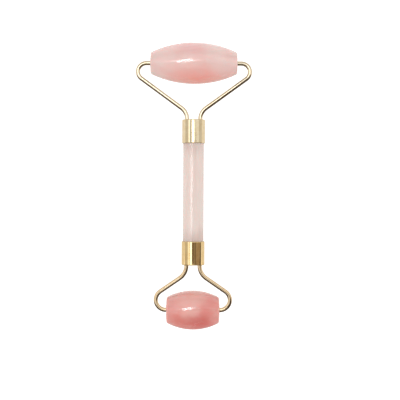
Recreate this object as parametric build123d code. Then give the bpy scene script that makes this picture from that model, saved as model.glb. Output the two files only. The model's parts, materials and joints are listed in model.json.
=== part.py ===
"""Two-ended stone face roller: a barrel-shaped roller at each end of a round stone handle.

Every piece is drawn in the tool frame first, in millimetres:
  +X across the tool (both roller axles lie along X), +Y along the handle from the small
  roller towards the large one, +Z up, origin where the large roller's axle crosses the handle axis.
The finished tool is then laid on a table, z = 0, so that both rollers touch it, with the
origin under the middle of its bounding box.
"""
import math
import os
from dataclasses import dataclass

from build123d import *

# --- handle and ferrules ------------------------------------------------------------------
HANDLE_D = 10.5
HANDLE_VISIBLE = 49.6  # stone between the two ferrule rims
HANDLE_CHAMFER = 0.4
FERRULE_D = 11.7
FERRULE_LENGTH = 12.0
FERRULE_WALL = 0.45
FERRULE_END_WALL = 1.2
FERRULE_CORNER = 0.45  # rounding of the closed end
FERRULE_RIM_ROUND = 0.34  # rounding of the open rim
ROD_INSERTION = 6.8  # how deep the stone rod sits in each ferrule
GLUE_RECESS = 0.35  # the cured glue stops this far inside the open rim

# --- arms -----------------------------------------------------------------------------------
WIRE_D = 2.2
NECK_SPACING = 6.7  # centre to centre, where the two wires enter a ferrule
SHANK_IN_CUP = 3.2  # straight shank past the inside of the end wall
TIP_DEPTH = 7.0  # straight tip inside the roller, which is its axle
TIP_ROUND = 0.35

# --- brazed joints ---------------------------------------------------------------------------
BRAZE_GAP = 0.05
BRAZE_OUTER_LEG = 0.28
BRAZE_INNER_LEG = 0.75

# --- bushes and their seats ------------------------------------------------------------------
BUSH_CLEARANCE = 0.06  # radial, around the wire tip
BUSH_D = 3.6
BUSH_LENGTH = 8.0
BUSH_LEAD_IN = 0.2
FLANGE_D = 4.6
FLANGE_THICKNESS = 0.7
FLANGE_RECESS = 0.12  # the flange sits just below the end of the stone
SEAT_CLEARANCE = 0.1  # around and behind the flange
BORE_DEPTH = 9.2
MOUTH_CHAMFER = 0.25


@dataclass
class End:
    """One end of the tool. Distances along the handle are taken from the roller's axle."""

    name: str
    outward: int  # +1 if this end points along +Y, -1 along -Y
    stone_length: float
    stone_d: float
    barrel_radius: float  # of the arc that makes the barrel's side
    dome_height: float  # how far each end face bulges
    corner_radius: float
    arm_half_span: float  # handle axis to the wire's centre at its widest
    tip_bend_radius: float
    neck_bend_radius: float
    arm_angle: float  # of the straight arm, in degrees from the axle
    ferrule_distance: float  # axle to the ferrule's closed end
    axle_y: float = 0.0  # set once both ends are known


LARGE = End("large", 1, 44.4, 20.9, 50.5, 0.35, 1.1, 28.4, 4.3, 6.95, 36.1, 28.6)
SMALL = End("small", -1, 27.4, 19.75, 27.6, 0.5, 0.9, 18.8, 5.15, 7.75, 34.5, 22.9)
AXLE_DISTANCE = LARGE.ferrule_distance + 2 * FERRULE_LENGTH + HANDLE_VISIBLE + SMALL.ferrule_distance
SMALL.axle_y = -AXLE_DISTANCE
SIDES = {"left": -1, "right": 1}

WIRE_R = WIRE_D / 2
FERRULE_R = FERRULE_D / 2
CUP_R = FERRULE_R - FERRULE_WALL


def placed(end, x, distance):
    """The tool-frame point at x across and this distance from the end's axle towards the handle."""
    return Vector(x, end.axle_y - end.outward * distance, 0)


def round_bar(end, radius, start, stop, x=0.0):
    """A round bar along the handle between two distances from the end's axle."""
    a, b = placed(end, x, start), placed(end, x, stop)
    return Plane(a, z_dir=b - a) * Cylinder(
        radius, (b - a).length, align=(Align.CENTER, Align.CENTER, Align.MIN)
    )


def along_x(radius, start, stop):
    """A round bar on the X axis from x = start to x = stop, with stop past start."""
    return Plane.YZ.offset(start) * Cylinder(
        radius, stop - start, align=(Align.CENTER, Align.CENTER, Align.MIN)
    )


# --- rollers ----------------------------------------------------------------------------------
def make_stone(end):
    """Barrel with slightly domed ends, and a blind stepped bore from each end."""
    half = end.stone_length / 2
    corner_x = half - end.dome_height
    side_drop = end.barrel_radius - math.sqrt(end.barrel_radius**2 - corner_x**2)
    corner_r = end.stone_d / 2 - side_drop
    dome_radius = (corner_r**2 + end.dome_height**2) / (2 * end.dome_height)
    dome_mid_y = corner_r / 2
    dome_mid_x = half - dome_radius + math.sqrt(dome_radius**2 - dome_mid_y**2)
    outline = (
        ThreePointArc((-corner_x, corner_r), (0, end.stone_d / 2), (corner_x, corner_r))
        + ThreePointArc((corner_x, corner_r), (dome_mid_x, dome_mid_y), (half, 0))
        + Line((half, 0), (-half, 0))
        + ThreePointArc((-half, 0), (-dome_mid_x, dome_mid_y), (-corner_x, corner_r))
    )
    profile = make_face(outline)
    corners = [v for v in profile.vertices() if v.Y > corner_r - 0.01]
    profile = fillet(corners, end.corner_radius)
    stone = revolve(profile, Axis.X, 360)

    seat_floor = half - FLANGE_RECESS - FLANGE_THICKNESS - SEAT_CLEARANCE
    seat_r = FLANGE_D / 2 + SEAT_CLEARANCE
    bore = along_x(BUSH_D / 2, half - BORE_DEPTH, half + 1)
    bore += along_x(seat_r, seat_floor, half + 1)
    mouth = Plane.YZ.offset(half - MOUTH_CHAMFER) * Cone(
        seat_r, seat_r + 2 * MOUTH_CHAMFER, 2 * MOUTH_CHAMFER,
        align=(Align.CENTER, Align.CENTER, Align.MIN),
    )
    cutter = bore + mouth
    stone -= cutter
    stone -= Rot(0, 0, 180) * cutter
    return Pos(0, end.axle_y, 0) * stone


def make_bush(end, side):
    """Flanged sleeve that lines one bore and runs on the wire tip."""
    face = end.stone_length / 2 - FLANGE_RECESS
    bush = along_x(BUSH_D / 2, face - BUSH_LENGTH, face)
    bush += along_x(FLANGE_D / 2, face - FLANGE_THICKNESS, face)
    bush -= along_x(WIRE_R + BUSH_CLEARANCE, face - BUSH_LENGTH - 1, face + 1)
    mouth_edges = bush.edges().filter_by(GeomType.CIRCLE).group_by(Axis.X)[-1]
    bush = chamfer(mouth_edges.sort_by(SortBy.LENGTH)[0], BUSH_LEAD_IN)
    if SIDES[side] < 0:
        bush = Rot(0, 0, 180) * bush
    return Pos(0, end.axle_y, 0) * bush


# --- arms --------------------------------------------------------------------------------------
def arm_path(end, side):
    """Centreline of one wire: tip, bend, straight arm, neck bend and shank."""
    half_turn = math.radians(180 - end.arm_angle) / 2
    tip_start = end.stone_length / 2 - TIP_DEPTH
    tip_corner = end.arm_half_span + end.tip_bend_radius * (math.tan(half_turn) - 1)
    neck_corner = (tip_corner - NECK_SPACING / 2) * math.tan(math.radians(end.arm_angle))
    shank_end = end.ferrule_distance + FERRULE_END_WALL + SHANK_IN_CUP
    route = [
        (tip_start, 0),
        (tip_corner, 0),
        (NECK_SPACING / 2, neck_corner),
        (NECK_SPACING / 2, shank_end),
    ]
    points = [placed(end, SIDES[side] * across, distance) for across, distance in route]
    return FilletPolyline(*points, radius=[end.tip_bend_radius, end.neck_bend_radius])


def make_arm(end, side):
    """One bent wire. Its tip is the roller's axle, with a rounded nose."""
    path = arm_path(end, side)
    arm = sweep(Plane(path @ 0, z_dir=path % 0) * Circle(WIRE_R), path=path)
    nose = arm.faces().sort_by_distance(path @ 0)[0]
    return fillet(nose.edges(), TIP_ROUND)


def make_braze(end, side):
    """Braze metal: a thin collar in the ferrule's hole with a concave fillet at both mouths."""
    wall = FERRULE_END_WALL
    hole_r = WIRE_R + BRAZE_GAP
    outer, inner = BRAZE_OUTER_LEG, BRAZE_INNER_LEG
    bow = 1 - math.sqrt(0.5)  # an arc of one leg's radius passes this share of it from the corner
    outline = (
        RadiusArc((WIRE_R, -outer), (WIRE_R + outer, 0), -outer)
        + Line((WIRE_R + outer, 0), (hole_r, 0))
        + Line((hole_r, 0), (hole_r, wall))
        + Line((hole_r, wall), (WIRE_R + inner, wall))
        + ThreePointArc(
            (WIRE_R + inner, wall),
            (WIRE_R + bow * inner, wall + bow * inner),
            (WIRE_R, wall + inner),
        )
        + Line((WIRE_R, wall + inner), (WIRE_R, -outer))
    )
    ring = revolve(make_face(outline), Axis.Y, 360)
    mouth = placed(end, SIDES[side] * NECK_SPACING / 2, end.ferrule_distance)
    inward = placed(end, 0, 1) - placed(end, 0, 0)
    return Plane(mouth, x_dir=(1, 0, 0), z_dir=(0, 0, inward.Y)) * ring


# --- handle -------------------------------------------------------------------------------------
def make_ferrule(end):
    """Drawn cup with two holes in its closed end for the wires."""
    start = end.ferrule_distance
    stop = start + FERRULE_LENGTH
    cup = round_bar(end, FERRULE_R, start, stop) - round_bar(end, CUP_R, start + FERRULE_END_WALL, stop + 1)
    closed_edge = cup.edges().sort_by_distance(placed(end, FERRULE_R, start))[0]
    cup = fillet(closed_edge, FERRULE_CORNER)
    rim_edge = cup.edges().sort_by_distance(placed(end, FERRULE_R, stop))[0]
    cup = fillet(rim_edge, FERRULE_RIM_ROUND)
    for direction in SIDES.values():
        x = direction * NECK_SPACING / 2
        cup -= round_bar(end, WIRE_R + BRAZE_GAP, start - 1, start + FERRULE_END_WALL + 1, x)
    return cup


def make_handle():
    """Plain stone rod with a small chamfer at both ends."""
    start = LARGE.ferrule_distance + FERRULE_LENGTH - ROD_INSERTION
    rod = round_bar(LARGE, HANDLE_D / 2, start, start + HANDLE_VISIBLE + 2 * ROD_INSERTION)
    return chamfer(rod.edges().filter_by(GeomType.CIRCLE), HANDLE_CHAMFER)


def make_glue(end, handle, inserts):
    """Cured epoxy: fills the bottom of the cup around the shanks and the thin gap around the rod."""
    floor = end.ferrule_distance + FERRULE_END_WALL
    rim = end.ferrule_distance + FERRULE_LENGTH
    glue = round_bar(end, CUP_R, floor, rim - GLUE_RECESS) - handle
    for insert in inserts:
        glue -= insert
    return glue


# --- the whole tool -------------------------------------------------------------------------------
def resting_place():
    """Moves the tool frame so that both rollers touch z = 0 and the bounding box is centred on Z."""
    large_r, small_r = LARGE.stone_d / 2, SMALL.stone_d / 2
    tilt = math.asin((large_r - small_r) / AXLE_DISTANCE)
    large_y = (AXLE_DISTANCE * math.cos(tilt) + small_r - large_r) / 2
    return Location((0, large_y, large_r)) * Rot(math.degrees(tilt), 0, 0)


def make_parts():
    """Every piece in the tool frame, by node name."""
    parts = {"handle_rod": make_handle()}
    for end in (LARGE, SMALL):
        parts[f"{end.name}_stone"] = make_stone(end)
        parts[f"{end.name}_ferrule"] = make_ferrule(end)
        inserts = []
        for side in SIDES:
            arm, braze = make_arm(end, side), make_braze(end, side)
            parts[f"{end.name}_arm_{side}"] = arm
            parts[f"{end.name}_braze_{side}"] = braze
            parts[f"{end.name}_bush_{side}"] = make_bush(end, side)
            inserts += [arm, braze]
        parts[f"{end.name}_epoxy"] = make_glue(end, parts["handle_rod"], inserts)
    return parts


def main():
    os.makedirs("parts", exist_ok=True)
    rest = resting_place()
    for node, shape in make_parts().items():
        export_step(rest * shape, f"parts/{node}.step")
    for end in (LARGE, SMALL):
        centre = (rest * Location((0, end.axle_y, 0))).position
        print(f"{end.name} axle at", centre)
    middle = placed(LARGE, 0, LARGE.ferrule_distance + FERRULE_LENGTH + HANDLE_VISIBLE / 2)
    print("middle of the handle at", (rest * Location(middle)).position)
    print("handle axis", (rest * Location((0, 1, 0))).position - (rest * Location((0, 0, 0))).position)


main()
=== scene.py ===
import json
import math

import bmesh
import bpy
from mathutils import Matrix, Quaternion, Vector, noise


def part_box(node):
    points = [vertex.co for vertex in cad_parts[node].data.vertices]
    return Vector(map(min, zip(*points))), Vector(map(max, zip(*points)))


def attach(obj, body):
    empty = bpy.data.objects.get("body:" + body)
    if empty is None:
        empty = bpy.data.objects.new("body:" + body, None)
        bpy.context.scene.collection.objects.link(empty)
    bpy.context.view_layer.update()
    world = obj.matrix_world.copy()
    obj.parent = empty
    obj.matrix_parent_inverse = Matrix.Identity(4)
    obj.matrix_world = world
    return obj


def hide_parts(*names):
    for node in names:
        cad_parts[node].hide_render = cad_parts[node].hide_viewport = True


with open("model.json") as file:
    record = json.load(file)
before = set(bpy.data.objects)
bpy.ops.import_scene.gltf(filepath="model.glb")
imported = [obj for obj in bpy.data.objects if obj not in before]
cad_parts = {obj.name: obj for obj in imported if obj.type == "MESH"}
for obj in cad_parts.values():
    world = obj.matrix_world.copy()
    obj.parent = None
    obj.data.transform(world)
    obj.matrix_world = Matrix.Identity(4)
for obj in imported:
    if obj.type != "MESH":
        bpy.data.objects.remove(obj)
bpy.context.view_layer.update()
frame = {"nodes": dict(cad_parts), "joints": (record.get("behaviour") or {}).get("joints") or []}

MM = 0.001
JOINTS = {joint["name"]: joint for joint in frame["joints"]}
ENDS = ("large", "small")
SIDES = ("left", "right")

# --- the stones' shape, in metres -----------------------------------------------------------------
STONE_SHAPE = {
    "large": {"barrel_radius": 50.5 * MM, "dome_drop": 0.27 * MM, "corner_radius": 1.1 * MM},
    "small": {"barrel_radius": 27.6 * MM, "dome_drop": 0.42 * MM, "corner_radius": 0.9 * MM},
}
SEAT_RADIUS = 2.4 * MM  # recess for the bush's flange
SEAT_DEPTH = 0.92 * MM
BORE_RADIUS = 1.8 * MM
BORE_DEPTH = 9.2 * MM
MOUTH_CHAMFER = 0.25 * MM
POLISH_WAVE = 0.03 * MM  # how far hand polishing leaves the barrel from its true form
POLISH_WAVELENGTH = 13 * MM
POLISH_STRETCH = 0.5  # how often the waves come along the axle, compared with round it
FINE_WAVES = (2.3, 0.08)  # how much shorter the finer waves are, and their share
MOUTH_CHIPS = 0.05 * MM  # unevenness of the bore's mouth
ROUND_STEPS = 192
BARREL_STEPS, CORNER_STEPS, DOME_STEPS = 56, 10, 12  # of half the outline
POLISH_SEEDS = {"large": 4.0, "small": 9.0}


# --- helpers --------------------------------------------------------------------------------------
class Tree:
    """A small wrapper that makes, sets and links shader nodes."""

    def __init__(self, owner):
        owner.use_nodes = True
        self.nodes = owner.node_tree.nodes
        self.links = owner.node_tree.links
        self.nodes.clear()

    def add(self, kind, inputs=None, **settings):
        node = self.nodes.new(kind)
        for name, value in settings.items():
            setattr(node, name, value)
        for name, value in (inputs or {}).items():
            self.feed(node, name, value)
        return node

    def feed(self, node, name, value):
        """Sets an input, by name or number, to a value, or links another node's socket to it."""
        socket = node.inputs[name]
        if isinstance(value, bpy.types.NodeSocket):
            self.links.new(value, socket)
        else:
            socket.default_value = value

    def math(self, operation, a, b=0.5):
        return self.add("ShaderNodeMath", {0: a, 1: b}, operation=operation).outputs[0]

    def vector(self, operation, a, b):
        return self.add("ShaderNodeVectorMath", {0: a, 1: b}, operation=operation).outputs[0]

    def ramp(self, value, low, high, to_low=0.0, to_high=1.0):
        """value mapped smoothly from low..high to to_low..to_high, and clamped."""
        node = self.add(
            "ShaderNodeMapRange",
            {"Value": value, "From Min": low, "From Max": high, "To Min": to_low, "To Max": to_high},
            interpolation_type="SMOOTHSTEP",
        )
        return node.outputs["Result"]

    def mix(self, factor, a, b):
        """A colour between a and b."""
        node = self.add("ShaderNodeMix", {0: factor}, data_type="RGBA")
        for index, colour in ((6, a), (7, b)):
            linked = isinstance(colour, bpy.types.NodeSocket)
            self.feed(node, index, colour if linked else (*colour, 1.0))
        return node.outputs[2]

    def blend(self, factor, a, b):
        """A level between a and b."""
        node = self.add("ShaderNodeMix", {"Factor": factor, "A": a, "B": b}, data_type="FLOAT")
        return node.outputs[0]

    def noise(self, vector, scale, detail=2.0, roughness=0.5, distortion=0.0):
        inputs = {"Vector": vector, "Scale": scale, "Detail": detail}
        inputs.update({"Roughness": roughness, "Distortion": distortion})
        return self.add("ShaderNodeTexNoise", inputs).outputs["Fac"]

    def millimetres(self, stretch=(1, 1, 1), origin=(0, 0, 0)):
        """Object coordinates in millimetres from an origin given in metres, then stretched."""
        place = self.add("ShaderNodeTexCoord").outputs["Object"]
        place = self.vector("SUBTRACT", place, origin)
        return self.vector("MULTIPLY", place, [1000 * s for s in stretch])

    def surface(self, shader):
        self.add("ShaderNodeOutputMaterial", {"Surface": shader.outputs[0]})

    def stripes(self, value, stops):
        """value read along a list of (place, level), straight between them."""
        low, high = stops[0][0], stops[-1][0]
        node = self.add("ShaderNodeMapRange", {"Value": value, "From Min": low, "From Max": high})
        ramp = self.add("ShaderNodeValToRGB", {"Fac": node.outputs["Result"]})
        elements = ramp.color_ramp.elements
        while len(elements) < len(stops):
            elements.new(1.0)
        for element, (place, level) in zip(elements, stops):
            element.position = (place - low) / (high - low)
            element.color = (level, level, level, 1)
        return ramp.outputs["Color"]

    def by_ray(self, camera, glossy, other):
        """One level for what the camera sees directly, one for reflections, one for all other light."""
        ray = self.add("ShaderNodeLightPath").outputs
        level = other
        for kind, value in (("Is Glossy Ray", glossy), ("Is Camera Ray", camera)):
            level = self.blend(ray[kind], level, value)
        return level

    def bump(self, height, distance, strength=1.0, normal=None):
        inputs = {"Height": height, "Distance": distance, "Strength": strength}
        if normal is not None:
            inputs["Normal"] = normal
        return self.add("ShaderNodeBump", inputs).outputs["Normal"]


def linear(red, green, blue):
    """Display colour, 0 to 255, as the linear values that shaders take."""
    return tuple(
        c / 12.92 if c <= 0.04045 else ((c + 0.055) / 1.055) ** 2.4
        for c in (red / 255, green / 255, blue / 255)
    )


def new_material(name):
    material = bpy.data.materials.new(name)
    return material, Tree(material)


def give(material, piece):
    piece.data.materials.clear()
    piece.data.materials.append(material)


def add_piece(name, mesh, sharp_degrees):
    """Turns a bmesh into an object whose edges are sharp where its faces turn by more than this."""
    data = bpy.data.meshes.new(name)
    mesh.to_mesh(data)
    mesh.free()
    data.shade_smooth()
    data.set_sharp_from_angle(angle=math.radians(sharp_degrees))
    piece = bpy.data.objects.new(name, data)
    bpy.context.scene.collection.objects.link(piece)
    return piece


# --- rose quartz ----------------------------------------------------------------------------------
QUARTZ_IOR = 1.544
QUARTZ_SCATTER = (1.0, 0.46, 0.40)  # how far red, green and blue light spreads inside, relative
ZONE_WANDER = 5  # mm over which the edges of the zones wander
SPECK_SHARE = 0.2  # how much of the deep colour a speck takes
POLISH_GRAIN = 0.0003 * MM  # height of what polishing leaves
CRACK_GROOVE = 0.006 * MM


def blob(tree, place, centre, radii):
    """1 at a centre, in millimetres, falling smoothly to 0 at the surface of an ellipsoid round it."""
    offset = tree.vector("SUBTRACT", place, centre)
    scaled = tree.vector("MULTIPLY", offset, [1 / r for r in radii])
    distance = tree.add("ShaderNodeVectorMath", {0: scaled}, operation="LENGTH").outputs["Value"]
    return tree.ramp(distance, 0.0, 1.0, 1.0, 0.0)


def healed_cracks(tree, place, scale, width, seed):
    """Thin wandering lines where a few fractures in the crystal have healed, in patches."""
    shifted = tree.vector("ADD", place, (seed, 0.37 * seed, -0.61 * seed))
    field = tree.noise(shifted, scale, detail=3, roughness=0.55, distortion=0.4)
    line = tree.math("ABSOLUTE", tree.math("SUBTRACT", field, 0.5))
    line = tree.ramp(line, 0.0, width, 1.0, 0.0)
    patches = tree.ramp(tree.noise(shifted, scale * 0.8, detail=1), 0.5, 0.66)
    return tree.math("MULTIPLY", line, patches)


def fracture_veil(tree, place, point, facing, softness, reach):
    """1 beyond a nearly flat fracture plane, within reach of a point, else 0. All in millimetres."""
    offset = tree.vector("SUBTRACT", place, point)
    product = tree.add("ShaderNodeVectorMath", {0: offset, 1: facing}, operation="DOT_PRODUCT")
    side = tree.ramp(product.outputs["Value"], -softness, softness)
    centre = [p + f * reach / 2 for p, f in zip(point, facing)]
    near = blob(tree, place, centre, (reach, reach, reach))
    return tree.math("MULTIPLY", side, tree.ramp(near, 0.0, 0.4))


def rose_quartz(name, origin, look):
    """Polished milky quartz. look: see stone_materials. Places in it are in millimetres from origin."""
    material, tree = new_material(name)
    seed = look["seed"]
    place = tree.millimetres(origin=origin, stretch=look.get("stretch", (1, 1, 1)))
    drift = tree.add("ShaderNodeTexNoise", {"Vector": place, "Scale": 0.10, "Detail": 2.0})
    wander = tree.vector("SUBTRACT", drift.outputs["Color"], (0.5, 0.5, 0.5))
    bent = tree.vector("ADD", place, tree.vector("MULTIPLY", wander, [ZONE_WANDER] * 3))
    seeded = tree.vector("ADD", bent, (seed, -seed, 0.5 * seed))

    cloud = tree.noise(seeded, look["cloud_scale"], detail=4, roughness=0.5)
    colour = tree.mix(tree.ramp(cloud, 0.36, 0.64), look["veil"], look["body"])
    # patches of another colour, some of which are painted shade
    for centre, radii, zone_colour, strength in look["zones"]:
        weight = tree.math("MULTIPLY", blob(tree, bent, centre, radii), strength)
        colour = tree.mix(weight, colour, zone_colour)
    for point, facing, softness, reach, strength in look["veils"]:
        veil = fracture_veil(tree, place, point, facing, softness, reach)
        colour = tree.mix(tree.math("MULTIPLY", veil, strength), colour, look["veil"])
    wisps = tree.ramp(tree.noise(seeded, 0.35, detail=4, roughness=0.65, distortion=1.0), 0.50, 0.80)
    colour = tree.mix(tree.math("MULTIPLY", wisps, look["wisps"]), colour, look["veil"])
    cracks = healed_cracks(tree, place, scale=0.16, width=0.010, seed=seed)
    colour = tree.mix(tree.math("MULTIPLY", cracks, look["cracks"]), colour, look["crack"])
    specks = tree.add("ShaderNodeTexVoronoi", {"Vector": seeded, "Scale": 0.55}).outputs["Distance"]
    specks = tree.ramp(specks, 0.03, 0.07, 1.0, 0.0)
    colour = tree.mix(tree.math("MULTIPLY", specks, SPECK_SHARE), colour, look["deep"])

    scuffs = tree.noise(place, 1.6, detail=5, roughness=0.75)
    roughness = tree.ramp(scuffs, 0.35, 0.8, 0.10, 0.18)
    roughness = tree.math("ADD", roughness, tree.math("MULTIPLY", cracks, 0.10))
    fine = tree.noise(place, 6.0, detail=2)
    normal = tree.bump(fine, POLISH_GRAIN, 0.5)
    normal = tree.bump(tree.math("MULTIPLY", cracks, -1.0), CRACK_GROOVE, 0.5, normal)
    shader = tree.add(
        "ShaderNodeBsdfPrincipled",
        {
            "Base Color": colour,
            "Roughness": roughness,
            "IOR": QUARTZ_IOR,
            "Subsurface Weight": look["milk"],
            "Subsurface Radius": QUARTZ_SCATTER,
            "Subsurface Scale": look["scatter"],
            "Normal": normal,
        },
    )
    tree.surface(shader)
    return material


def stone_materials():
    """Each roller's own stone, and the paler stone of the handle.

    veil, body, deep, crack: colours. cloud_scale: how small the clouds are.
    wisps, cracks: their strength. stretch: of the whole pattern, by axis.
    milk, scatter: the subsurface weight, and its reach in metres.
    zones: (centre, radii, colour, strength), patches of another colour, in millimetres, some of them
    painted shade.
    veils: (point, facing, softness, reach, strength), paler crystal beyond a fracture plane, the same.
    """
    large = {
        "seed": 3.0,
        "veil": linear(241, 213, 207),
        "body": linear(238, 202, 196),
        "deep": linear(226, 150, 138),
        "crack": linear(247, 228, 223),
        "cloud_scale": 0.08,
        "wisps": 0.15,
        "cracks": 0.3,
        "scatter": 3.0 * MM,
        "milk": 0.75,
        "zones": [
            # The first zone, deeper salmon towards -Y, is partly the stone's own colour and partly
            # painted shade of its lower side.
            ((2, -9.5, 6), (26, 13.5, 15), linear(244, 171, 160), 1.0),
            ((-2, 8, 7), (17, 8, 10), linear(241, 192, 190), 0.85),
            ((-21, 0, 3), (12, 10, 14), linear(231, 202, 195), 0.7),
        ],
        "veils": [((6.4, 5, 8), (0.996, -0.087, 0), 0.9, 14, 0.5)],
    }
    small = {
        "seed": 11.0,
        "veil": linear(238, 186, 177),
        "body": linear(234, 160, 151),
        "deep": linear(206, 108, 100),
        "crack": linear(242, 208, 201),
        "cloud_scale": 0.10,
        "wisps": 0.2,
        "cracks": 0.3,
        "scatter": 2.4 * MM,
        "milk": 0.75,
        "zones": [
            # Deeper towards -Y and paler towards +Y: partly the stone's own colour, partly painted
            # shade that darkens its lower side.
            ((1, -5.5, 7), (12, 8, 10), linear(218, 128, 121), 0.85),
            ((5, -8, 6), (14, 10, 12), linear(217, 119, 112), 1.0),
            ((-7, -7, 6), (10, 8, 10), linear(223, 136, 126), 0.8),
            ((-3, 3, 8), (12, 8, 10), linear(238, 180, 171), 0.7),
            ((9, 4, 7), (10, 9, 9), linear(228, 150, 142), 0.85),
            ((-11, 2, 5), (7, 9, 10), linear(228, 152, 145), 0.8),
        ],
        "veils": [((-1, 5, 8), (0.5, 0.86, 0), 0.7, 9, 0.25)],
    }
    low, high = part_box("handle_rod")
    middle = [(a + b) / 2 for a, b in zip(low, high)]
    bare_end = (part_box("large_ferrule")[0][1] - middle[1]) / MM
    along = 0.35  # the handle's pattern is drawn out along it
    shade = linear(188, 153, 142)  # painted shade that the ferrules' rims cast on the stone beside them
    handle = {
        "seed": 23.0,
        "veil": linear(240, 224, 216),
        "body": linear(238, 218, 209),
        "deep": linear(220, 192, 183),
        "crack": linear(243, 233, 228),
        "cloud_scale": 0.08,
        "wisps": 0.15,
        "cracks": 0.15,
        "scatter": 3.0 * MM,
        "milk": 0.35,
        "stretch": (1, along, 1),
        # painted shade round both ends of the bare stone, next to the ferrules
        "zones": [((0, sign * bare_end * along, 0), (9, 3.6, 9), shade, 1.0) for sign in (1, -1)],
        "veils": [],
    }
    return {
        "large": rose_quartz("rose_quartz_large", JOINTS["large_roller_spin"]["pos_m"], large),
        "small": rose_quartz("rose_quartz_small", JOINTS["small_roller_spin"]["pos_m"], small),
        "handle": rose_quartz("rose_quartz_handle", middle, handle),
    }


# --- metal, plastic and glue ----------------------------------------------------------------------
# The plating's lighter, darker and smudged tones, which differ a little between the ends.
FERRULE_TONES = {
    "large": (linear(248, 232, 197), linear(243, 222, 181), linear(233, 206, 160)),
    "small": (linear(246, 220, 168), linear(240, 208, 150), linear(228, 192, 134)),
}
WIRE_TONES = {
    "large": (linear(248, 234, 208), linear(244, 226, 194), linear(236, 212, 174)),
    "small": (linear(248, 226, 190), linear(244, 216, 175), linear(234, 200, 155)),
}
# The lines that polishing leaves run round a ferrule. On the wire they have no direction.
FERRULE_FINISH = {
    "stretch": (0.15, 1.5, 0.15),
    "roughness": 0.05,
    "line_scale": 2.0,
    "line_depth": 0.0001 * MM,
}
WIRE_FINISH = {"stretch": (1, 1, 1), "roughness": 0.06, "line_scale": 2.5, "line_depth": 0.0002 * MM}


def polished_gold(name, tones, stretch, roughness, line_scale, line_depth):
    """Gold-plated brass. tones: its lighter, darker and smudged colours.

    The fine lines left by polishing run across the direction of the larger stretch.
    """
    material, tree = new_material(name)
    place = tree.millimetres()
    lines = tree.noise(tree.millimetres(stretch), line_scale, detail=3, roughness=0.6)
    tone = tree.noise(place, 0.5, detail=3, roughness=0.6)
    smudge = tree.ramp(tree.noise(place, 0.25, detail=4, roughness=0.65), 0.45, 0.75)
    colour = tree.mix(tree.ramp(tone, 0.3, 0.7), tones[0], tones[1])
    colour = tree.mix(tree.math("MULTIPLY", smudge, 0.35), colour, tones[2])
    rough = tree.ramp(lines, 0.3, 0.7, roughness * 0.8, roughness * 1.25)
    rough = tree.math("ADD", rough, tree.math("MULTIPLY", smudge, 0.05))
    normal = tree.bump(lines, line_depth)
    normal = tree.bump(tone, 0.010 * MM, 0.5, normal)
    shader = tree.add(
        "ShaderNodeBsdfPrincipled",
        {"Base Color": colour, "Metallic": 1.0, "Roughness": rough, "Normal": normal},
    )
    tree.surface(shader)
    return material


def braze_metal():
    """The filler where wire meets ferrule: plated over, but less smooth and uneven in tone."""
    material, tree = new_material("plated_braze")
    place = tree.millimetres()
    grain = tree.noise(place, 4.0, detail=4, roughness=0.6)
    colour = tree.mix(tree.ramp(grain, 0.3, 0.7), linear(214, 178, 120), linear(238, 208, 156))
    shader = tree.add(
        "ShaderNodeBsdfPrincipled",
        {
            "Base Color": colour,
            "Metallic": 1.0,
            "Roughness": tree.ramp(grain, 0.3, 0.7, 0.2, 0.36),
            "Normal": tree.bump(grain, 0.03 * MM),
        },
    )
    tree.surface(shader)
    return material


def bush_nylon():
    """Natural nylon, slightly translucent, with a faint mottle and grain."""
    material, tree = new_material("natural_nylon")
    place = tree.millimetres()
    mottle = tree.noise(place, 1.2, detail=3)
    colour = tree.mix(tree.ramp(mottle, 0.3, 0.7), linear(232, 226, 212), linear(242, 238, 228))
    shader = tree.add(
        "ShaderNodeBsdfPrincipled",
        {
            "Base Color": colour,
            "Roughness": tree.ramp(mottle, 0.3, 0.7, 0.38, 0.5),
            "Subsurface Weight": 0.4,
            "Subsurface Radius": (1.0, 0.9, 0.8),
            "Subsurface Scale": 0.6 * MM,
            "Normal": tree.bump(tree.noise(place, 7.0, detail=2), 0.008 * MM),
        },
    )
    tree.surface(shader)
    return material


def cured_epoxy():
    """Amber-tinged glue with a few bubbles."""
    material, tree = new_material("cured_epoxy")
    place = tree.millimetres()
    bubbles = tree.add("ShaderNodeTexVoronoi", {"Vector": place, "Scale": 1.6}).outputs["Distance"]
    bubbles = tree.ramp(bubbles, 0.05, 0.14, 1.0, 0.0)
    tint = tree.noise(place, 0.8, detail=2)
    colour = tree.mix(tree.ramp(tint, 0.3, 0.7), linear(196, 178, 148), linear(214, 198, 170))
    colour = tree.mix(tree.math("MULTIPLY", bubbles, 0.4), colour, linear(236, 228, 210))
    shader = tree.add(
        "ShaderNodeBsdfPrincipled",
        {
            "Base Color": colour,
            "Roughness": tree.ramp(tint, 0.3, 0.7, 0.12, 0.22),
            "Normal": tree.bump(bubbles, 0.02 * MM),
        },
    )
    tree.surface(shader)
    return material


# --- polished stone rollers -----------------------------------------------------------------------
def arc(centre, radius, start, stop, steps):
    """Points of a circular arc, angles in radians from +X, both ends included."""
    angles = [start + (stop - start) * i / steps for i in range(steps + 1)]
    return [(centre[0] + radius * math.cos(a), centre[1] + radius * math.sin(a)) for a in angles]


def circle_crossing(x_a, y_a, radius_a, x_b, y_b, radius_b):
    """The upper point where two circles cross."""
    dx, dy = x_b - x_a, y_b - y_a
    apart = math.hypot(dx, dy)
    along = (radius_a**2 - radius_b**2 + apart**2) / (2 * apart)
    aside = math.sqrt(radius_a**2 - along**2)
    points = [
        (x_a + (along * dx - sign * aside * dy) / apart, y_a + (along * dy + sign * aside * dx) / apart)
        for sign in (1, -1)
    ]
    return max(points, key=lambda p: p[1])


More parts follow.
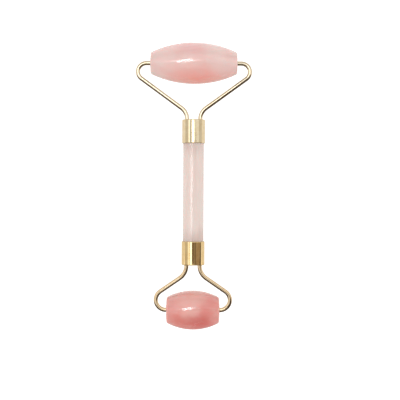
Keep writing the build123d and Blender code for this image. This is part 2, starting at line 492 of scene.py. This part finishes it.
def half_outline(half_length, radius, shape):
    """Lists of (x, r): from the barrel's middle to the bore's mouth, and from there to its bottom."""
    barrel_y = radius - shape["barrel_radius"]
    corner_x = half_length - shape["dome_drop"]
    corner_r = barrel_y + math.sqrt(shape["barrel_radius"] ** 2 - corner_x**2)
    mouth_r = SEAT_RADIUS + MOUTH_CHAMFER
    drop = shape["dome_drop"]
    dome_height = (drop**2 + corner_r**2 - mouth_r**2) / (2 * drop)
    dome_x = half_length - dome_height
    dome_radius = math.hypot(dome_height, mouth_r)
    rounding = shape["corner_radius"]
    round_x, round_r = circle_crossing(
        0, barrel_y, shape["barrel_radius"] - rounding, dome_x, 0, dome_radius - rounding
    )
    barrel_stop = math.atan2(round_r - barrel_y, round_x)
    dome_start = math.atan2(round_r, round_x - dome_x)
    dome_stop = math.asin(mouth_r / dome_radius)
    bore_x = half_length - BORE_DEPTH
    seat_x = half_length - SEAT_DEPTH
    outside = arc((0, barrel_y), shape["barrel_radius"], math.pi / 2, barrel_stop, BARREL_STEPS)
    outside += arc((round_x, round_r), rounding, barrel_stop, dome_start, CORNER_STEPS)[1:]
    outside += arc((dome_x, 0), dome_radius, dome_start, dome_stop, DOME_STEPS)[1:]
    inside = [(half_length - MOUTH_CHAMFER, SEAT_RADIUS), (seat_x, SEAT_RADIUS)]
    inside += [(seat_x, BORE_RADIUS), (bore_x, BORE_RADIUS)]
    return outside, inside


def polished(point, centre, depth, seed):
    """A point of the stone, moved a little along its radius as uneven hand polishing leaves it."""
    finer, share = FINE_WAVES
    around = Vector((point.x * POLISH_STRETCH + seed, point.y, point.z)) / POLISH_WAVELENGTH
    broad = noise.noise(around + Vector((seed, 0, 0)))
    fine = noise.noise(around * finer + Vector((0, seed, 0)))
    radial = Vector((0, point.y, point.z)).normalized()
    return point + radial * depth * (broad + share * fine) + centre


def stone_roller(end):
    """The stone as one closed turned mesh, with its stepped blind bores."""
    low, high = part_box(f"{end}_stone")
    centre = Vector(JOINTS[f"{end}_roller_spin"]["pos_m"])
    half_length = (high[0] - low[0]) / 2
    outside, inside = half_outline(half_length, (high[2] - low[2]) / 2, STONE_SHAPE[end])
    right = outside + inside
    outline = [(-x, r) for x, r in reversed(right[1:])] + right
    mouth = len(outside) - 1
    middle = len(right) - 1

    mesh = bmesh.new()
    rings = []
    for index, (x, r) in enumerate(outline):
        from_middle = abs(index - middle)
        if from_middle < mouth:
            depth = POLISH_WAVE * min(1.0, max(0.0, (r - SEAT_RADIUS) / SEAT_RADIUS))
        else:
            depth = MOUTH_CHIPS if from_middle == mouth else 0
        ring = []
        for step in range(ROUND_STEPS):
            angle = 2 * math.pi * step / ROUND_STEPS
            point = Vector((x, r * math.cos(angle), r * math.sin(angle)))
            ring.append(mesh.verts.new(polished(point, centre, depth, POLISH_SEEDS[end])))
        rings.append(ring)
    for ring, after in zip(rings, rings[1:]):
        for step in range(ROUND_STEPS):
            follow = (step + 1) % ROUND_STEPS
            mesh.faces.new((ring[step], ring[follow], after[follow], after[step]))
    mesh.faces.new(rings[0][::-1])
    mesh.faces.new(rings[-1])
    bmesh.ops.recalc_face_normals(mesh, faces=mesh.faces)
    return add_piece(f"{end}_stone_polished", mesh, sharp_degrees=32)


# --- studio ---------------------------------------------------------------------------------------
CAMERA_AIM = (0.0034, -0.0070)  # the point of the table under the camera
CAMERA_ROLL = 0.29  # degrees
LENS_PIXELS = 1000  # focal length in widths of one pixel of a 400-pixel picture
PIXEL = 0.5075 * MM  # size of a pixel at the height of the axles
SENSOR = 36.0  # width in millimetres
FRAME_PIXELS = 400

# What polished metal sees of the roof, from left to right: (degrees from straight up, brightness).
ROOM_STRIPES = (
    (-180, 0.95),
    (-62, 0.95),
    (-46, 1.30),
    (-36, 1.30),
    (-31, 0.36),
    (-22, 0.36),
    (-19, 0.92),
    (10, 0.92),
    (13, 0.80),
    (30, 0.84),
    (50, 0.88),
    (56, 0.70),
    (180, 0.70),
)
CEILING_EDGE = (0.50, 0.66)  # height of the direction where the roof ends and the walls begin
ROOF_DARK = (-0.62, -0.42, 0.05, 1.0)  # the roof darkens towards -Y: from, to, and its levels there
ROOF_BRIGHT = (0.15, 0.35, 1.0, 1.3)  # and brighter towards +Y
HORIZON = (-0.03, 0.03)  # where the walls go over into what lies below
WALLS = (0.11, 0.62, 0.85)  # brightness towards -Y, to both sides and towards +Y
TABLE = (0.14, 0.86, 0.75)  # the same, of what lies below
FRONT_TO_SIDE = (-0.45, -0.05)  # where, in the direction's Y, one goes over into the next
SIDE_TO_BACK = (0.15, 0.50)
SURROUND_TINT = (1.0, 0.80, 0.58)
TINT_BY_LEVEL = (0.15, 0.60, 1.0, 0.25)  # the walls' tint is full where they are dark
SOFT_LIGHT = 0.81  # the even light on everything that isn't a reflection
TABLE_SHINE = 0.42  # brightness of the table in the gloss of stones and ferrules
TABLE_LIFT = 0.1 * MM  # how far above the table the sheets lie that stand for it
SHEET_GAP = 4 * MM  # from a ferrule to the near edge of its own sheet
FILL = 0.40  # brightness of what the ferrules reflect towards -Y
FILL_HEIGHT = 0.38  # just under the flags, because they hide what is above them
FLOOR_SEEN = 1.1  # the floor's brightness to the camera
FLOOR_SOFT = 0.76  # and as a light on the pieces
FLOOR_REACH = 4.0  # half its width
CARD_HEIGHT = 0.40

# Flags of one brightness: (name, x from and to, y from and to, height, brightness).
PLAIN_CARDS = (
    ("flag_rear", (0.05, 0.35), (0.0, 0.042), CARD_HEIGHT, 0.10),
    ("flag_middle", (0.10, 0.35), (-0.12, -0.076), 0.39, 0.05),
    ("flag_right", (0.09, 3.7), (-0.90, -0.12), CARD_HEIGHT, 0.05),
    ("flag_left", (-0.70, 0.09), (-0.90, -0.26), CARD_HEIGHT, 0.05),
    ("flag_back", (-0.40, 0.40), (0.14, 0.36), 0.10, 0.25),
)

# Flags whose brightness changes along x: (name, y from and to, (x, brightness) from end to end).
STRIPED_CARDS = (
    ("flag_front", (-0.07, 0.0), ((-0.085, 0.20), (0.05, 0.19), (0.07, 0.28), (0.09, 0.28))),
    (
        "flag_side",
        (-0.12, 0.0),
        ((0.09, 0.28), (0.13, 0.28), (0.155, 0.18), (0.20, 0.19), (0.225, 0.37), (3.7, 0.38)),
    ),
    ("flag_line", (-0.12, 0.0), ((-0.30, 0.40), (-0.245, 0.40))),
)


def add_camera():
    """Looks straight down on the object."""
    data = bpy.data.cameras.new("camera")
    data.sensor_width = SENSOR
    data.lens = SENSOR * LENS_PIXELS / FRAME_PIXELS
    data.clip_start = 0.01
    camera = bpy.data.objects.new("camera", data)
    height = LENS_PIXELS * PIXEL + JOINTS["small_roller_spin"]["pos_m"][2]
    camera.location = (*CAMERA_AIM, height)
    camera.rotation_euler = (0, 0, math.radians(CAMERA_ROLL))
    bpy.context.scene.collection.objects.link(camera)
    bpy.context.scene.camera = camera


def direction(left_right, down_up):
    """Unit vector at these angles from straight up: degrees towards +X, and towards +Y."""
    return Vector((math.tan(math.radians(left_right)), math.tan(math.radians(down_up)), 1)).normalized()


def link_light(light, pieces):
    """Makes a light fall on these pieces only."""
    receivers = bpy.data.collections.new(f"lit_by_{light.name}")
    for piece in pieces:
        receivers.objects.link(piece)
    light.light_linking.receiver_collection = receivers


def add_softbox(
    name, towards, distance, spread, brightness, lit=None, mirrored=True, spin=0, shape="RECTANGLE"
):
    """A softbox that faces the object's middle and is seen from there towards a direction.

    spread: its width and length in degrees. lit: the pieces it lights, if not all of them.
    mirrored: whether only gloss shows it, or else only the surfaces take its light.
    spin: degrees about its own middle. shape: RECTANGLE or ELLIPSE.
    """
    width, length = (2 * distance * math.tan(math.radians(angle / 2)) for angle in spread)
    data = bpy.data.lights.new(name, "AREA")
    data.shape = shape
    data.size, data.size_y = width, length
    area = width * length * (1 if shape == "RECTANGLE" else math.pi / 4)
    data.energy = math.pi * area * brightness
    light = bpy.data.objects.new(name, data)
    light.location = towards * distance
    turn = Quaternion((0, 0, 1), math.radians(spin))
    light.rotation_euler = (towards.to_track_quat("Z", "Y") @ turn).to_euler()
    light.visible_diffuse = not mirrored
    light.visible_glossy = mirrored
    bpy.context.scene.collection.objects.link(light)
    if lit:
        link_light(light, lit)


def add_sheet_light(name, width, y, z, brightness, pieces, faces_up=True):
    """A level sheet of light that only the gloss of these pieces shows.

    It is centred on x = 0. y: (from, to).
    """
    data = bpy.data.lights.new(name, "AREA")
    data.shape = "RECTANGLE"
    data.size, data.size_y = width, y[1] - y[0]
    data.energy = math.pi * data.size * data.size_y * brightness
    light = bpy.data.objects.new(name, data)
    light.location = (0, (y[0] + y[1]) / 2, z)
    light.rotation_euler = (math.pi if faces_up else 0, 0, 0)
    light.visible_diffuse = False
    light.visible_camera = False
    light.visible_transmission = False
    bpy.context.scene.collection.objects.link(light)
    link_light(light, pieces)


def add_level_face(name, x, y, z):
    """One level rectangle. x, y: (from, to)."""
    mesh = bmesh.new()
    corners = ((x[0], y[0]), (x[1], y[0]), (x[1], y[1]), (x[0], y[1]))
    mesh.faces.new([mesh.verts.new((*corner, z)) for corner in corners])
    return add_piece(name, mesh, sharp_degrees=30)


def add_card(name, x, y, z, stripes):
    """A flat card that only reflections see, as a studio's flags are. stripes: (x, brightness), ..."""
    card = add_level_face(name, x, y, z)
    material, tree = new_material(name)
    place = tree.add("ShaderNodeTexCoord").outputs["Object"]
    level = tree.stripes(tree.add("ShaderNodeSeparateXYZ", {"Vector": place}).outputs["X"], stripes)
    tree.surface(tree.add("ShaderNodeEmission", {"Color": (*SURROUND_TINT, 1), "Strength": level}))
    give(material, card)
    card.visible_camera = False
    card.visible_diffuse = False
    card.visible_shadow = False
    card.visible_transmission = False


def add_floor():
    """A white table, brighter to the camera than to the pieces. Gloss doesn't show it: see TABLE."""
    floor = add_level_face("floor", (-FLOOR_REACH, FLOOR_REACH), (-FLOOR_REACH, FLOOR_REACH), 0)
    material, tree = new_material("floor_white")
    level = tree.by_ray(FLOOR_SEEN, FLOOR_SOFT, FLOOR_SOFT)
    tree.surface(
        tree.add(
            "ShaderNodeBsdfPrincipled",
            {
                "Base Color": (0.2, 0.2, 0.2, 1),
                "Roughness": 0.9,
                "Specular IOR Level": 0.0,
                "Emission Color": (1, 1, 1, 1),
                "Emission Strength": level,
            },
        )
    )
    give(material, floor)
    floor.visible_glossy = False


def front_side_back(tree, along, levels):
    """The level towards -Y, then to the sides, then towards +Y. along: the direction's Y."""
    front, side, back = levels
    level = tree.ramp(along, *FRONT_TO_SIDE, front, side)
    return tree.math("MULTIPLY", level, tree.ramp(along, *SIDE_TO_BACK, 1.0, back / side))


def add_world():
    """White to the camera and even as a light. Gloss shows a tent with strips in its roof instead."""
    world = bpy.data.worlds.new("studio")
    bpy.context.scene.world = world
    tree = Tree(world)
    looking = tree.add("ShaderNodeTexCoord").outputs["Generated"]
    parts = tree.add("ShaderNodeSeparateXYZ", {"Vector": looking}).outputs
    across = tree.math("MULTIPLY", tree.math("ARCTAN2", parts["X"], parts["Z"]), math.degrees(1))
    level = tree.stripes(across, ROOM_STRIPES)
    level = tree.math("MULTIPLY", level, tree.ramp(parts["Y"], *ROOF_DARK))
    level = tree.math("MULTIPLY", level, tree.ramp(parts["Y"], *ROOF_BRIGHT))
    aside = tree.ramp(parts["Z"], *CEILING_EDGE, 1.0, 0.0)
    below = tree.ramp(parts["Z"], *HORIZON, 1.0, 0.0)
    level = tree.blend(aside, level, front_side_back(tree, parts["Y"], WALLS))
    level = tree.blend(below, level, front_side_back(tree, parts["Y"], TABLE))
    tinted = tree.math("MULTIPLY", aside, tree.ramp(level, *TINT_BY_LEVEL))
    tinted = tree.math("MULTIPLY", tinted, tree.add("ShaderNodeLightPath").outputs["Is Glossy Ray"])
    colour = tree.mix(tinted, (1, 1, 1), SURROUND_TINT)
    strength = tree.by_ray(1.0, level, SOFT_LIGHT)
    background = tree.add("ShaderNodeBackground", {"Color": colour, "Strength": strength})
    tree.add("ShaderNodeOutputWorld", {"Surface": background.outputs[0]})


def add_lights(rollers):
    """The softboxes, most of which only certain pieces mirror, and the level sheets of light."""
    handle = frame["nodes"]["handle_rod"]
    upper, lower = (frame["nodes"][f"{end}_ferrule"] for end in ENDS)
    ferrules = [upper, lower]
    arms = [frame["nodes"][f"{end}_arm_{side}"] for end in ENDS for side in SIDES]
    add_softbox("key", direction(-8, 2), 1.4, (40, 40), 0.9, mirrored=False)
    add_softbox("window", direction(-11.5, 10), 1.38, (25, 14), 10, rollers, spin=-12, shape="ELLIPSE")
    add_softbox("bar", direction(-14, 10.5), 1.38, (54, 7), 3.2, rollers, spin=-44, shape="ELLIPSE")
    add_softbox("strip_handle", direction(-19.5, 0), 1.2, (7, 24), 4.5, [handle])
    add_softbox("strip_upper", direction(-6, 5), 1.2, (15, 30), 1.6, [upper])
    add_softbox("strip_lower", direction(-22.5, -2), 1.2, (16, 30), 1.7, [lower])
    add_softbox("glint", direction(-6, 9), 1.4, (14, 14), 2.2, arms)
    add_softbox("fill_front", direction(0, -77), 1.6, (110, 24), FILL, ferrules)
    add_sheet_light("fill_above", 1.2, (-0.9, -0.16), FILL_HEIGHT, FILL, ferrules, faces_up=False)
    add_sheet_light("table_shine", 0.8, (-0.4, 0.4), TABLE_LIFT, TABLE_SHINE, rollers)
    for name, ferrule in (("table_shine_upper", upper), ("table_shine_lower", lower)):
        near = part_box(ferrule.name)[0][1] - SHEET_GAP
        add_sheet_light(name, 0.8, (-0.5, near), TABLE_LIFT, TABLE_SHINE, [ferrule])


def add_studio(rollers):
    add_world()
    add_floor()
    add_lights(rollers)
    for name, y, stripes in STRIPED_CARDS:
        add_card(name, (stripes[0][0], stripes[-1][0]), y, CARD_HEIGHT, stripes)
    for name, x, y, z, brightness in PLAIN_CARDS:
        add_card(name, x, y, z, [(end, brightness) for end in x])
    bpy.context.scene.view_settings.view_transform = "Standard"


# --- putting it together --------------------------------------------------------------------------
def make_stones(stone):
    """The two rollers, which replace the CAD's, and the handle's material."""
    rollers = []
    for end in ENDS:
        roller = stone_roller(end)
        give(stone[end], roller)
        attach(roller, f"{end}_roller")
        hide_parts(f"{end}_stone")
        roller.visible_glossy = False
        rollers.append(roller)
    give(stone["handle"], frame["nodes"]["handle_rod"])
    return rollers


def dress_cad_nodes():
    """Materials of the CAD's own nodes, apart from the handle."""
    braze, nylon, epoxy = braze_metal(), bush_nylon(), cured_epoxy()
    for end in ENDS:
        ferrule = polished_gold(f"polished_gold_{end}", FERRULE_TONES[end], **FERRULE_FINISH)
        wire = polished_gold(f"gold_wire_{end}", WIRE_TONES[end], **WIRE_FINISH)
        give(ferrule, frame["nodes"][f"{end}_ferrule"])
        give(epoxy, frame["nodes"][f"{end}_epoxy"])
        for side in SIDES:
            give(wire, frame["nodes"][f"{end}_arm_{side}"])
            give(braze, frame["nodes"][f"{end}_braze_{side}"])
            give(nylon, frame["nodes"][f"{end}_bush_{side}"])


add_camera()
rollers = make_stones(stone_materials())
dress_cad_nodes()
add_studio(rollers)
